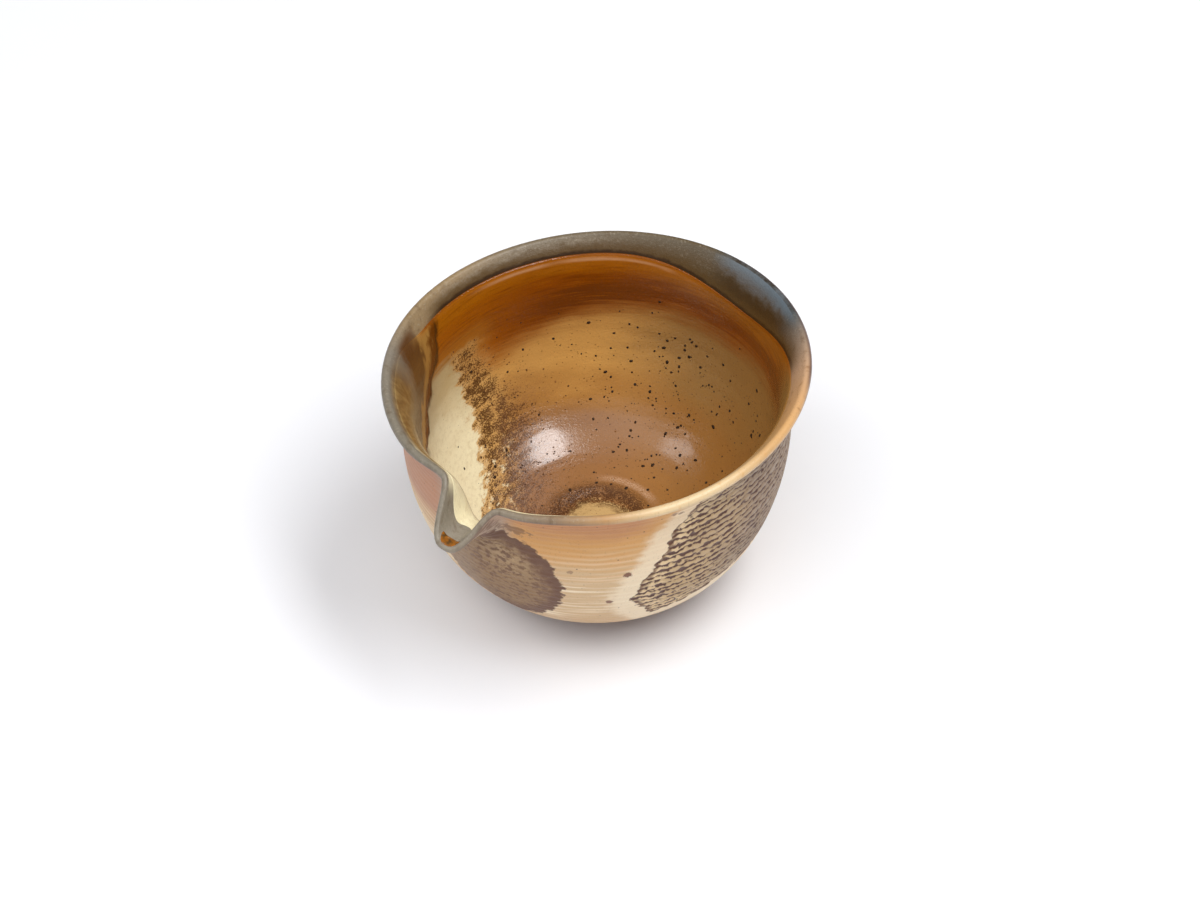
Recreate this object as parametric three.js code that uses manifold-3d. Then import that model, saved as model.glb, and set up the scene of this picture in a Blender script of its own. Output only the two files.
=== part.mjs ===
// A wood-fired porcelain pouring bowl: thrown bowl, pulled spout, turned foot ring and glaze liner.
// Millimetres, +Z up. The spout points along +X. The origin is on the table, under the footprint's middle.
import * as THREE from "three";
import { mergeVertices } from "three/addons/utils/BufferGeometryUtils.js";
import Module from "manifold-3d";

const wasm = await Module();
wasm.setup();

// Bowl
const height = 74; // table to the top of the lip
const rimRadius = 60; // to the lip's outer edge, before the spout is pulled
const bellyRadius = 55.3; // outside, where the wall stands upright
const bellyHeight = 53; // above the table
const floorRadius = 22; // flat part of the floor
const floorThickness = 6.5;
const wallThickness = 3.2; // at the belly
const lipThickness = 2.8;
const flareSharpness = 4; // how late and how fast the wall turns out to the lip
const ovality = 0.035; // share of the radius that the rim gains along its long axis, and loses across it
const ovalTurn = THREE.MathUtils.degToRad(-12); // long axis of the rim, from the spout
const wobble = 0.0074; // share of the radius by which the thrown rim swells in three places
const wobbleTurn = THREE.MathUtils.degToRad(41); // first of the three, from the spout

// Spout
const spoutPull = 11; // how far the lip is drawn out
const spoutDrop = 10.8; // how far the lip is drawn down
const spoutHalfWidth = 6;
const spoutReach = 22; // height of wall that the pull bends
const pullSharpness = 2; // how late on that height the wall turns out
const dropSharpness = 1.6; // and down
const spoutSquareness = 3.2; // 2 is a soft wave, more is a flat-sided trough
const shoulderPress = 1.5; // how far the fingers press the wall in beside the spout
const shoulderOffset = 11.5; // from the spout's middle to the pressed place
const shoulderWidth = 8;
const seamHalfWidth = 14; // of the piece of wall that is the spout
const seamDepth = 25; // below the lip

// Foot ring
const footHeight = 4; // table to the underside of the floor
const footOuterRadius = 28;
const footRingWidth = 5.5;
const footBevel = 0.9;

// Glaze liner
const glazeThickness = 0.5;
const glazeLineDrop = 4.8; // from the top of the lip down to the liner's edge
const glazeDip = 3.8; // how much lower the edge runs at its dip
const glazeDipTurn = THREE.MathUtils.degToRad(168); // middle of the dip, from the spout
const glazeDipWidth = THREE.MathUtils.degToRad(22);

const jointGap = 0.3; // slip joint between two pieces of clay, and between clay and glaze

// Mesh counts
const columns = 72;
const frontCrowding = 0.7; // share by which the columns crowd towards the spout
const floorRows = 2;
const bowlRows = 8;
const neckRows = 7;
const lipRows = 3;
const footSides = 72;
const footTopSteps = 3;
const seamSteps = 10;

const lipRadius = lipThickness / 2;
const lipCentreRadius = rimRadius - lipRadius;
const lipCentreHeight = height - lipRadius;
const bellyMidRadius = bellyRadius - wallThickness / 2;
const floorMidHeight = footHeight + floorThickness / 2;
const roundReach = bellyMidRadius - floorRadius;
const roundHeight = bellyHeight - floorMidHeight;
const neckHeight = lipCentreHeight - bellyHeight;
const footInnerRadius = footOuterRadius - footRingWidth;

// How much the rim runs out of round at an angle from the spout, as a share of the radius.
const outOfRound = (angle) =>
  ovality * Math.cos(2 * (angle - ovalTurn)) + wobble * Math.cos(3 * (angle - wobbleTurn));

const backReach = rimRadius * (1 + outOfRound(Math.PI));
const spoutTip = rimRadius * (1 + outOfRound(0)) + spoutPull;
const axisX = (backReach - spoutTip) / 2; // the bowl's own axis stands behind the middle of the footprint

const smooth = (x) => {
  const t = THREE.MathUtils.clamp(x, 0, 1);
  return t * t * (3 - 2 * t);
};

// An angle brought to the half turn on either side of the spout.
const turnBack = (angle) => Math.atan2(Math.sin(angle), Math.cos(angle));

// The middle of the wall before the spout is pulled, as radius, height and thickness.
// Station 0 to 1 is the flat floor, 1 to 2 a quarter of an ellipse, and 2 to 3 the neck and lip.
function section(station) {
  if (station <= 1) return { r: floorRadius * station, z: floorMidHeight, t: floorThickness };
  if (station <= 2) {
    const turn = (station - 1) * (Math.PI / 2);
    return {
      r: floorRadius + roundReach * Math.sin(turn),
      z: bellyHeight - roundHeight * Math.cos(turn),
      t: THREE.MathUtils.lerp(floorThickness, wallThickness, smooth(station - 1)),
    };
  }
  const rise = station - 2;
  return {
    r: bellyMidRadius + (lipCentreRadius - bellyMidRadius) * rise ** flareSharpness,
    z: THREE.MathUtils.lerp(bellyHeight, lipCentreHeight, rise),
    t: THREE.MathUtils.lerp(wallThickness, lipThickness, rise),
  };
}

// The middle of the wall, out of round more and more towards the rim, with the spout pulled out and down.
function wallMiddle(angle, station) {
  const { r, z } = section(station);
  const across = Math.abs(turnBack(angle)) * lipCentreRadius;
  const rise = THREE.MathUtils.clamp((z - (lipCentreHeight - spoutReach)) / spoutReach, 0, 1);
  const trough = Math.exp(-((across / spoutHalfWidth) ** spoutSquareness));
  const press = Math.exp(-(((across - shoulderOffset) / shoulderWidth) ** 2));
  const round = r * (1 + outOfRound(angle) * (z / height));
  const radius = round + rise ** pullSharpness * (spoutPull * trough - shoulderPress * press);
  const drop = spoutDrop * trough * rise ** dropSharpness;
  return new THREE.Vector3(axisX + radius * Math.cos(angle), radius * Math.sin(angle), z - drop);
}

// Unit vectors at a point of the wall: out of the wall, and along it towards the lip.
function wallDirections(angle, station) {
  const stepAngle = 1e-3;
  const stepStation = 1e-3;
  const high = Math.min(station + stepStation, 3);
  const low = Math.max(station - stepStation, 0.01);
  const along = wallMiddle(angle, high).sub(wallMiddle(angle, low)).normalize();
  const across = wallMiddle(angle + stepAngle, station).sub(wallMiddle(angle - stepAngle, station));
  const out = across.cross(along).normalize();
  return { out, along };
}

// A point at a distance from the middle of the wall, outwards when positive.
function wallPoint(angle, station, offset) {
  const { out } = wallDirections(angle, station);
  return wallMiddle(angle, station).addScaledVector(out, offset);
}

// The point on the bowl's axis at a distance under the middle of the floor.
const floorPoint = (offset) => new THREE.Vector3(axisX, 0, floorMidHeight - offset);

// Column angles, crowded towards the spout at angle 0.
const angles = Array.from({ length: columns }, (_, i) => {
  const even = (2 * Math.PI * i) / columns;
  return even - frontCrowding * Math.sin(even);
});

// A closed surface from rows of points round the axis, whose first and last rows are single points.
function closedShell(rows) {
  const positions = [];
  const index = [];
  const starts = rows.map((row) => {
    const start = positions.length / 3;
    row.forEach((p) => positions.push(p.x, p.y, p.z));
    return start;
  });
  for (let j = 0; j + 1 < rows.length; j++) {
    const single = rows[j].length === 1;
    const nextSingle = rows[j + 1].length === 1;
    for (let i = 0; i < columns; i++) {
      const next = (i + 1) % columns;
      const a = starts[j] + (single ? 0 : i);
      const b = starts[j] + (single ? 0 : next);
      const c = starts[j + 1] + (nextSingle ? 0 : next);
      const d = starts[j + 1] + (nextSingle ? 0 : i);
      if (!single) index.push(a, b, c);
      if (!nextSingle) index.push(a, c, d);
    }
  }
  return new THREE.BufferGeometry()
    .setAttribute("position", new THREE.BufferAttribute(new Float32Array(positions), 3))
    .setIndex(index);
}

// Stations from the floor's middle to the lip, with rows spread over each stretch.
const stations = [
  ...Array.from({ length: floorRows }, (_, i) => (i + 1) / floorRows),
  ...Array.from({ length: bowlRows }, (_, i) => 1 + (i + 1) / bowlRows),
  ...Array.from({ length: neckRows }, (_, i) => 2 + (i + 1) / neckRows),
];

// The whole clay wall as one closed surface: up the outside, round the lip and down the inside.
function clayWall() {
  const rowOf = (station, side) =>
    angles.map((angle) => wallPoint(angle, station, (side * section(station).t) / 2));
  const rows = [[floorPoint(floorThickness / 2)]];
  for (const station of stations) rows.push(rowOf(station, 1));
  for (let i = 1; i <= lipRows; i++) {
    const turn = (Math.PI * i) / (lipRows + 1);
    rows.push(
      angles.map((angle) => {
        const { out, along } = wallDirections(angle, 3);
        return wallMiddle(angle, 3)
          .addScaledVector(out, lipRadius * Math.cos(turn))
          .addScaledVector(along, lipRadius * Math.sin(turn));
      }),
    );
  }
  for (const station of stations.toReversed()) rows.push(rowOf(station, -1));
  rows.push([floorPoint(-floorThickness / 2)]);
  return closedShell(rows);
}

// The station at which the liner ends: the glaze line, with its dip.
function glazeLine(angle) {
  const dip = glazeDip * Math.exp(-((turnBack(angle - glazeDipTurn) / glazeDipWidth) ** 2));
  return 3 - (glazeLineDrop + dip - lipRadius) / neckHeight;
}

// The liner: glass over the inside of the clay, from the floor up to the glaze line.
function linerShell() {
  const rowOf = (station, depth) =>
    angles.map((angle) => {
      const reached = station > 2 ? 2 + (station - 2) * (glazeLine(angle) - 2) : station;
      return wallPoint(angle, reached, -(section(reached).t / 2 + depth));
    });
  const rows = [[floorPoint(-(floorThickness / 2 + jointGap))]];
  for (const station of stations) rows.push(rowOf(station, jointGap));
  for (const station of stations.toReversed()) rows.push(rowOf(station, jointGap + glazeThickness));
  rows.push([floorPoint(-(floorThickness / 2 + jointGap + glazeThickness))]);
  return closedShell(rows);
}

// The outline that parts the spout from the bowl, pushed through the wall along X.
function seamCutter(grow) {
  const half = seamHalfWidth + grow;
  const bottom = height - seamDepth - grow;
  const above = height + spoutDrop;
  const outline = new THREE.Shape();
  outline.moveTo(half, above);
  outline.lineTo(half, bottom + half);
  outline.absarc(0, bottom + half, half, 0, -Math.PI, true);
  outline.lineTo(-half, above);
  outline.closePath();
  const depth = spoutTip + spoutPull;
  const cutter = new THREE.ExtrudeGeometry(outline, { depth, bevelEnabled: false, curveSegments: seamSteps });
  const place = new THREE.Matrix4().makeBasis(
    new THREE.Vector3(0, 1, 0),
    new THREE.Vector3(0, 0, 1),
    new THREE.Vector3(1, 0, 0),
  );
  return cutter.applyMatrix4(place).translate(floorRadius, 0, 0);
}

// Height of the wall's underside at a radius near the foot.
function underside(radius) {
  const turn = Math.asin(THREE.MathUtils.clamp((radius - floorRadius) / roundReach, 0, 1));
  const { z, t } = section(1 + turn / (Math.PI / 2));
  const slope = (Math.tan(turn) * roundHeight) / roundReach;
  return z - (t / 2) * Math.hypot(1, slope);
}

// The foot ring: bevels beside the flat face that it rests on, and a top that follows the underside.
function footProfile() {
  const top = Array.from({ length: footTopSteps + 1 }, (_, i) => {
    const radius = THREE.MathUtils.lerp(footOuterRadius, footInnerRadius, i / footTopSteps);
    return new THREE.Vector2(radius, underside(radius) - jointGap);
  });
  return [
    new THREE.Vector2(footInnerRadius, footBevel),
    new THREE.Vector2(footInnerRadius + footBevel, 0),
    new THREE.Vector2(footOuterRadius - footBevel, 0),
    new THREE.Vector2(footOuterRadius, footBevel),
    ...top,
    new THREE.Vector2(footInnerRadius, footBevel),
  ];
}

function toSolid(geometry) {
  const bare = geometry.clone();
  bare.deleteAttribute("normal");
  bare.deleteAttribute("uv");
  const merged = mergeVertices(bare, 1e-4);
  return new wasm.Manifold(
    new wasm.Mesh({
      numProp: 3,
      vertProperties: merged.attributes.position.array,
      triVerts: new Uint32Array(merged.index.array),
    }),
  );
}

function toGeometry(solid) {
  const mesh = solid.getMesh();
  return new THREE.BufferGeometry()
    .setAttribute("position", new THREE.BufferAttribute(mesh.vertProperties, 3))
    .setIndex(new THREE.BufferAttribute(mesh.triVerts, 1));
}

const clay = toSolid(clayWall());

const outerClay = new THREE.MeshStandardMaterial({ color: 0xc79a72, roughness: 0.55, metalness: 0 });
const ashedClay = new THREE.MeshStandardMaterial({ color: 0x8d7a64, roughness: 0.5, metalness: 0 });
const bareClay = new THREE.MeshStandardMaterial({ color: 0xb98a66, roughness: 0.8, metalness: 0 });
const glaze = new THREE.MeshStandardMaterial({ color: 0xb27a3a, roughness: 0.2, metalness: 0 });

function named(name, geometry, material) {
  const mesh = new THREE.Mesh(geometry, material);
  mesh.name = name;
  return mesh;
}

const pitcher = new THREE.Group();
pitcher.add(
  named("bowl", toGeometry(clay.subtract(toSolid(seamCutter(jointGap)))), outerClay),
  named("spout", toGeometry(clay.intersect(toSolid(seamCutter(0)))), ashedClay),
  named("glaze_liner", linerShell(), glaze),
);

const footRing = named("foot_ring", new THREE.LatheGeometry(footProfile(), footSides), bareClay);
footRing.rotation.x = Math.PI / 2; // a lathe turns about Y, and the bowl stands along Z
footRing.position.x = axisX;
pitcher.add(footRing);

export default pitcher;
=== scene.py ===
# A wood-fired porcelain pouring bowl on a pale table.
# Sizes are in millimetres, as the potter would write them, and a mesh turns them to metres.
import math
from types import SimpleNamespace

import bmesh
import bpy
import numpy as np
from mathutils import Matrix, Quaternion, Vector


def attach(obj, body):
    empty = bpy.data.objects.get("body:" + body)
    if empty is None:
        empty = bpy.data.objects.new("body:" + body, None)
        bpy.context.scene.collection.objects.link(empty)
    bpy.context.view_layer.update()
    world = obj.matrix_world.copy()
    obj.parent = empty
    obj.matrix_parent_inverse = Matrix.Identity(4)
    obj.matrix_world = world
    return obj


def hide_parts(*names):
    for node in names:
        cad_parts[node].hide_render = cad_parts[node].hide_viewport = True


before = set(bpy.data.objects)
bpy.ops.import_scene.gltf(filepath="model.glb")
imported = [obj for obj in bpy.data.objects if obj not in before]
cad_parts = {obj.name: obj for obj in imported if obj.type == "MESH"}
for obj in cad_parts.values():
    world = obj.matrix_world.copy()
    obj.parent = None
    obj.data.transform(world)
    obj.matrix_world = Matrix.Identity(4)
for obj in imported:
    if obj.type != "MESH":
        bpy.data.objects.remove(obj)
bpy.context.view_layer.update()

MM = 0.001

# Bowl
HEIGHT = 74
RIM_RADIUS = 60
BELLY_RADIUS = 55.3
BELLY_HEIGHT = 53
FLOOR_RADIUS = 22
FLOOR_THICKNESS = 6.5
WALL_THICKNESS = 3.2
LIP_THICKNESS = 2.8
FLARE_SHARPNESS = 4
OVALITY = 0.035
OVAL_TURN = math.radians(-12)
WOBBLE = 0.0074
WOBBLE_TURN = math.radians(41)

# Spout
SPOUT_PULL = 11
SPOUT_DROP = 10.8
SPOUT_HALF_WIDTH = 6
SPOUT_REACH = 22
PULL_SHARPNESS = 2
DROP_SHARPNESS = 1.6
SPOUT_SQUARENESS = 3.2
SHOULDER_PRESS = 1.5
SHOULDER_OFFSET = 11.5
SHOULDER_WIDTH = 8
SHOULDER_BLEND = 12
SHOULDER_SAG = 1.6
SAG_OFFSET = 13
SAG_WIDTH = 11
SPOUT_THINNING = 0.36
THINNING_WIDTH = 19

# Foot ring
FOOT_HEIGHT = 4
FOOT_OUTER_RADIUS = 28
FOOT_INNER_RADIUS = 22.5
FOOT_BEVEL = 0.9

# Glaze
GLAZE_DEPTH = 0.8
GLAZE_EDGE_DEPTH = 0.3
GLAZE_LINE_DROP = 5.15
GLAZE_DIP = 5.5
GLAZE_DIP_TURN = math.radians(165)
GLAZE_DIP_WIDTH = math.radians(25)
GLAZE_RISE = 2.4
GLAZE_RISE_START = math.radians(-78)
GLAZE_RISE_END = math.radians(70)
GLAZE_RISE_FADE = 0.3
BARE_CHANNEL = 5.5
CHANNEL_WIDTH = math.radians(5)
GLAZE_EDGE_ROLL = 1.6
GLAZE_THICKENING = 12
THIN_EDGE_SHARE = 0.75
THIN_EDGE_WIDTH = math.radians(50)
WELL_RADIUS = 11
WELL_SHOULDER = 16
WELL_DEPTH = 0.9
SKIN = 0.06
CLAY_TUCK = 0.45
GLAZE_TUCK = 0.75

# How fine the meshes are: rows round the bowl, steps up the wall and columns
BODY_COLUMNS = 396
GLAZE_COLUMNS = 400
FLOOR_ROWS = 8
UNDERSIDE_STEP = 0.75
WALL_STEP = 0.36
LIP_ROWS = 13
BARE_ROWS = 15
COVERED_ROWS = 18
GLAZE_FLOOR_ROWS = 46
GLAZE_ROUND_ROWS = 84
GLAZE_NECK_ROWS = 64
GLAZE_BACK_EVERY = 8
SCALE_CROWD = (38, 160, 1.1)
SPOUT_CROWD = (-32, 32, 0.9)
RUN_CROWD = (-130, -50, 0.5)
GLAZE_SPOUT_CROWD = (-24, 24, 1.0)
CROWD_FADE = 8

LIP_RADIUS = LIP_THICKNESS / 2
LIP_CENTRE_RADIUS = RIM_RADIUS - LIP_RADIUS
LIP_CENTRE_HEIGHT = HEIGHT - LIP_RADIUS
BELLY_MID_RADIUS = BELLY_RADIUS - WALL_THICKNESS / 2
FLOOR_MID_HEIGHT = FOOT_HEIGHT + FLOOR_THICKNESS / 2
NECK_HEIGHT = LIP_CENTRE_HEIGHT - BELLY_HEIGHT
QUARTER_LIP = LIP_RADIUS * math.pi / 2


# The wall
def out_of_round(angle):
    """How much the rim runs out of round, as a share of the radius."""
    return OVALITY * np.cos(2 * (angle - OVAL_TURN)) + WOBBLE * np.cos(3 * (angle - WOBBLE_TURN))


BACK_REACH = RIM_RADIUS * (1 + out_of_round(math.pi))
SPOUT_TIP = RIM_RADIUS * (1 + out_of_round(0)) + SPOUT_PULL
AXIS_X = (BACK_REACH - SPOUT_TIP) / 2


def smooth(x):
    t = np.clip(x, 0, 1)
    return t * t * (3 - 2 * t)


def turn_back(angle):
    return np.arctan2(np.sin(angle), np.cos(angle))


def section(station):
    """Radius, height and thickness of the wall. Station 0 to 1 is floor, 1 to 2 round, 2 to 3 neck."""
    turn = np.clip(station - 1, 0, 1) * math.pi / 2
    rise = np.clip(station - 2, 0, 1)
    radius = FLOOR_RADIUS * np.clip(station, 0, 1)
    radius = radius + (BELLY_MID_RADIUS - FLOOR_RADIUS) * np.sin(turn)
    radius = radius + (LIP_CENTRE_RADIUS - BELLY_MID_RADIUS) * rise**FLARE_SHARPNESS
    z = BELLY_HEIGHT - (BELLY_HEIGHT - FLOOR_MID_HEIGHT) * np.cos(turn)
    z = z + NECK_HEIGHT * rise
    thickness = FLOOR_THICKNESS + (WALL_THICKNESS - FLOOR_THICKNESS) * smooth(station - 1)
    thickness = thickness + (LIP_THICKNESS - WALL_THICKNESS) * rise
    return radius, z, thickness


def wall_middle(angle, station):
    """The middle of the wall, out of round towards the rim, with the spout pulled out and down."""
    r, z, _ = section(station)
    across = np.abs(turn_back(angle)) * LIP_CENTRE_RADIUS
    rise = np.clip((z - (LIP_CENTRE_HEIGHT - SPOUT_REACH)) / SPOUT_REACH, 0, 1)
    trough = np.exp(-((across / SPOUT_HALF_WIDTH) ** SPOUT_SQUARENESS))
    left = smooth(0.5 - turn_back(angle) * LIP_CENTRE_RADIUS / SHOULDER_BLEND)
    press = np.exp(-(((across - SHOULDER_OFFSET) / SHOULDER_WIDTH) ** 2)) * left
    sag = np.exp(-(((across - SAG_OFFSET) / SAG_WIDTH) ** 2)) * (1 - left)
    around = r * (1 + out_of_round(angle) * z / HEIGHT)
    radius = around + rise**PULL_SHARPNESS * (SPOUT_PULL * trough - SHOULDER_PRESS * press)
    drop = SPOUT_DROP * trough * rise**DROP_SHARPNESS + SHOULDER_SAG * sag * rise**PULL_SHARPNESS
    return np.stack([AXIS_X + radius * np.cos(angle), radius * np.sin(angle), z - drop], -1)


def unit(v):
    return v / np.linalg.norm(v, axis=-1, keepdims=True)


def wall_directions(angle, station):
    """Unit vectors out of the wall, and along it towards the lip."""
    step = 1e-3
    above = wall_middle(angle, np.minimum(station + step, 3))
    below = wall_middle(angle, np.maximum(station - step, 0.01))
    across = wall_middle(angle + step, station) - wall_middle(angle - step, station)
    return unit(np.cross(across, above - below)), unit(above - below)


def thinned(angle, station, thickness):
    """The wall's thickness, less round the spout, where the clay is pulled."""
    across = turn_back(angle) * LIP_CENTRE_RADIUS / THINNING_WIDTH
    return thickness * (1 - SPOUT_THINNING * np.exp(-(across**2)) * smooth(station - 2))


def wall_rows(angles, stations, offsets):
    """Rows of points at a distance from the middle of the wall, outwards when positive."""
    angle, station = np.broadcast_arrays(angles[None, :], stations)
    out, _ = wall_directions(angle, station)
    return wall_middle(angle, station) + out * offsets[..., None]


def lip_rows(angles, turns):
    """Rows round the half circle of the lip, from its outside over the top to its inside."""
    angle, turn = np.meshgrid(angles, turns)
    station = np.full_like(angle, 3.0)
    out, along = wall_directions(angle, station)
    ring = out * np.cos(turn)[..., None] + along * np.sin(turn)[..., None]
    half = thinned(angle, station, LIP_THICKNESS) / 2 - SKIN
    return wall_middle(angle, station) + half[..., None] * ring


FLOOR_EDGE, SIDE_START, BELLY, LIP = 1, 1.42, 2, 3
PROFILE_STATIONS = np.linspace(0, LIP, 3001)
PROFILE_RADIUS, PROFILE_HEIGHT, _ = section(PROFILE_STATIONS)
PROFILE_STEPS = np.hypot(np.diff(PROFILE_RADIUS), np.diff(PROFILE_HEIGHT))
PROFILE_LENGTH = np.concatenate([[0], np.cumsum(PROFILE_STEPS)])
WALL_LENGTH = PROFILE_LENGTH[-1]


def up_wall(station):
    """How far a station is from the middle of the floor, along the wall."""
    return np.interp(station, PROFILE_STATIONS, PROFILE_LENGTH)


def station_up(length):
    return np.interp(length, PROFILE_LENGTH, PROFILE_STATIONS)


def glaze_line(angle):
    """The station at which the glaze ends."""
    turn = turn_back(angle)
    dip = GLAZE_DIP * np.exp(-((turn_back(angle - GLAZE_DIP_TURN) / GLAZE_DIP_WIDTH) ** 2))
    rise = GLAZE_RISE * smooth((turn - GLAZE_RISE_START) / GLAZE_RISE_FADE)
    rise = rise * smooth((GLAZE_RISE_END - turn) / GLAZE_RISE_FADE)
    bare = BARE_CHANNEL * np.exp(-((turn / CHANNEL_WIDTH) ** 2))
    return 3 - (GLAZE_LINE_DROP + dip - rise + bare - LIP_RADIUS) / NECK_HEIGHT


def above_line(angles, station):
    """How far a point is above the glaze line, along the wall."""
    return up_wall(station) - up_wall(glaze_line(angles))[None, :]


# What "above_line" says where the glaze line is far off
OUTSIDE_OVER = 30.0
LIP_OVER = 6.0


# Meshes
def closed_shell(name, start, rows, end, marks):
    """A closed mesh from a point, rows of points round the axis and another point."""
    count = rows.shape[1]
    points = np.concatenate([[start], rows.reshape(-1, 3), [end]]) * MM
    ring = np.arange(count)
    after = (ring + 1) % count
    last = 1 + (len(rows) - 1) * count
    faces = [(0, 1 + b, 1 + a) for a, b in zip(ring, after)]
    for j in range(len(rows) - 1):
        low = 1 + j * count
        high = low + count
        faces += [(low + a, low + b, high + b, high + a) for a, b in zip(ring, after)]
    faces += [(len(points) - 1, last + a, last + b) for a, b in zip(ring, after)]
    mesh = bpy.data.meshes.new(name)
    mesh.from_pydata(points.tolist(), [], [tuple(int(i) for i in f) for f in faces])
    mesh.polygons.foreach_set("use_smooth", [True] * len(mesh.polygons))
    for mark, values in marks.items():
        spread = np.broadcast_to(values, rows.shape[:2])
        whole = np.concatenate([[spread[0, 0]], spread.reshape(-1), [spread[-1, 0]]])
        mesh.attributes.new(mark, "FLOAT", "POINT").data.foreach_set("value", whole.astype(np.float32))
    mesh.update()
    return new_piece(name, mesh)


def new_piece(name, mesh):
    piece = bpy.data.objects.new(name, mesh)
    bpy.context.scene.collection.objects.link(piece)
    return piece


def crowded(count, windows):
    """Angles round the bowl, closer together in each window of (start, end, crowding) in degrees."""
    fine = np.radians(np.linspace(-180, 180, 3601))
    crowd = np.ones_like(fine)
    for start, end, more in windows:
        degrees = np.degrees(fine)
        crowd += more * smooth((degrees - start) / CROWD_FADE) * smooth((end - degrees) / CROWD_FADE)
    total = np.concatenate([[0], np.cumsum((crowd[1:] + crowd[:-1]) / 2)])
    return np.interp(np.arange(count) / count * total[-1], total, fine)


def steps_up(low, high, spacing):
    """Stations from one to another, evenly spaced along the wall."""
    start, end = up_wall(low), up_wall(high)
    return station_up(np.linspace(start, end, max(2, round((end - start) / spacing) + 1)))


def thrown_body():
    """The clay wall: up the outside, round the lip and down the inside, which the glaze covers."""
    angles = crowded(BODY_COLUMNS, (SCALE_CROWD, SPOUT_CROWD))
    floor = np.linspace(0, FLOOR_EDGE, FLOOR_ROWS)[1:]
    underside = steps_up(FLOOR_EDGE, SIDE_START, UNDERSIDE_STEP)[1:]
    outside = np.concatenate([floor, underside, steps_up(SIDE_START, LIP, WALL_STEP)[1:]])
    _, _, t = section(outside)
    shape = (len(outside), len(angles))
    thick = thinned(angles[None, :], outside[:, None], t[:, None])
    out_rows = wall_rows(angles, outside[:, None], thick / 2 - SKIN)
    out_up = np.broadcast_to(up_wall(outside)[:, None], shape)

    turns = np.linspace(0, math.pi, LIP_ROWS)[1:-1]
    top_rows = lip_rows(angles, turns)
    top_from = np.broadcast_to(((math.pi / 2 - turns) * LIP_RADIUS)[:, None], top_rows.shape[:2])

    line = glaze_line(angles)[None, :]
    open_share = np.linspace(0, 1, BARE_ROWS)[:, None]
    inside = LIP + (line - LIP - 0.06) * open_share
    _, _, t_in = section(inside)
    in_rows = wall_rows(angles, inside, -(thinned(angles[None, :], inside, t_in) / 2 - SKIN))
    under_glaze = np.broadcast_to(np.linspace(2.5, 0.5, COVERED_ROWS)[:, None], (COVERED_ROWS, len(angles)))
    sunk = np.concatenate([line - 0.12, line - 0.25, under_glaze])
    _, _, t_sunk = section(sunk)
    sunk_rows = wall_rows(angles, sunk, -(thinned(angles[None, :], sunk, t_sunk) / 2 - CLAY_TUCK))

    down = np.concatenate([inside, sunk])
    rows = np.concatenate([out_rows, top_rows, in_rows, sunk_rows])
    up = np.concatenate([out_up, np.full(top_from.shape, WALL_LENGTH), up_wall(down)])
    from_lip = np.concatenate(
        [WALL_LENGTH - out_up + QUARTER_LIP, top_from, up_wall(down) - WALL_LENGTH - QUARTER_LIP]
    )
    over_outside = np.full(out_up.shape, OUTSIDE_OVER)
    over = np.concatenate([over_outside, np.full(top_from.shape, LIP_OVER), above_line(angles, down)])
    low = (AXIS_X, 0, FOOT_HEIGHT)
    high = (AXIS_X, 0, FOOT_HEIGHT + FLOOR_THICKNESS - CLAY_TUCK)
    marks = {"up_wall": up, "from_lip": from_lip, "above_line": over}
    return closed_shell("thrown_body", low, rows, high, marks)


def well(radius):
    """How much the floor sinks in the well that the last finger left."""
    return WELL_DEPTH * smooth((WELL_SHOULDER - radius) / (WELL_SHOULDER - WELL_RADIUS))


def glaze_coat():
    """The glass inside: its back lies in the clay, and its face rises from the glaze line."""
    angles = crowded(GLAZE_COLUMNS, (RUN_CROWD, GLAZE_SPOUT_CROWD))
    line = glaze_line(angles)[None, :]
    floor = np.linspace(0, FLOOR_EDGE, GLAZE_FLOOR_ROWS)[1:]
    round_wall = np.linspace(FLOOR_EDGE, BELLY, GLAZE_ROUND_ROWS)[1:]
    share = np.concatenate([floor, round_wall, np.linspace(BELLY, LIP, GLAZE_NECK_ROWS)[1:]])[:, None]
    station = np.where(share > BELLY, BELLY + (share - BELLY) * (line - BELLY), share)
    radius, _, t = section(station)
    t = thinned(angles[None, :], station, t)
    to_line = -above_line(angles, station)
    roll = np.sqrt(1 - (1 - np.clip(to_line / GLAZE_EDGE_ROLL, 0, 1)) ** 2)
    thinner = np.exp(-((turn_back(angles) / THIN_EDGE_WIDTH) ** 2))
    edge_depth = GLAZE_EDGE_DEPTH * (1 - THIN_EDGE_SHARE * thinner)
    depth = edge_depth * roll + (GLAZE_DEPTH - edge_depth) * smooth(to_line / GLAZE_THICKENING)
    depth = depth - well(radius)
    face = wall_rows(angles, station, -(t / 2 + depth))
    coarse = station[::GLAZE_BACK_EVERY]
    back = wall_rows(angles, coarse, -(t[::GLAZE_BACK_EVERY] / 2 - GLAZE_TUCK))
    rows = np.concatenate([back, face[::-1]])
    both = np.concatenate([coarse, station[::-1]])
    low = (AXIS_X, 0, FOOT_HEIGHT + FLOOR_THICKNESS - GLAZE_TUCK)
    high = (AXIS_X, 0, FOOT_HEIGHT + FLOOR_THICKNESS + GLAZE_DEPTH - WELL_DEPTH)
    marks = {
        "up_wall": up_wall(both),
        "from_lip": up_wall(both) - WALL_LENGTH - QUARTER_LIP,
        "above_line": above_line(angles, both),
        "on_face": np.concatenate([np.zeros(coarse.shape), np.ones(station.shape)]),
    }
    return closed_shell("glaze_coat", low, rows, high, marks)


# Sums written with nodes, for materials and for Geometry Nodes alike
def feed(tree, value, socket):
    """Links a sum or another node's socket to an input, or sets the input to a plain value."""
    if isinstance(value, Sum):
        value = value.socket
    if isinstance(value, bpy.types.NodeSocket):
        tree.links.new(value, socket)
    else:
        socket.default_value = value


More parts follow.
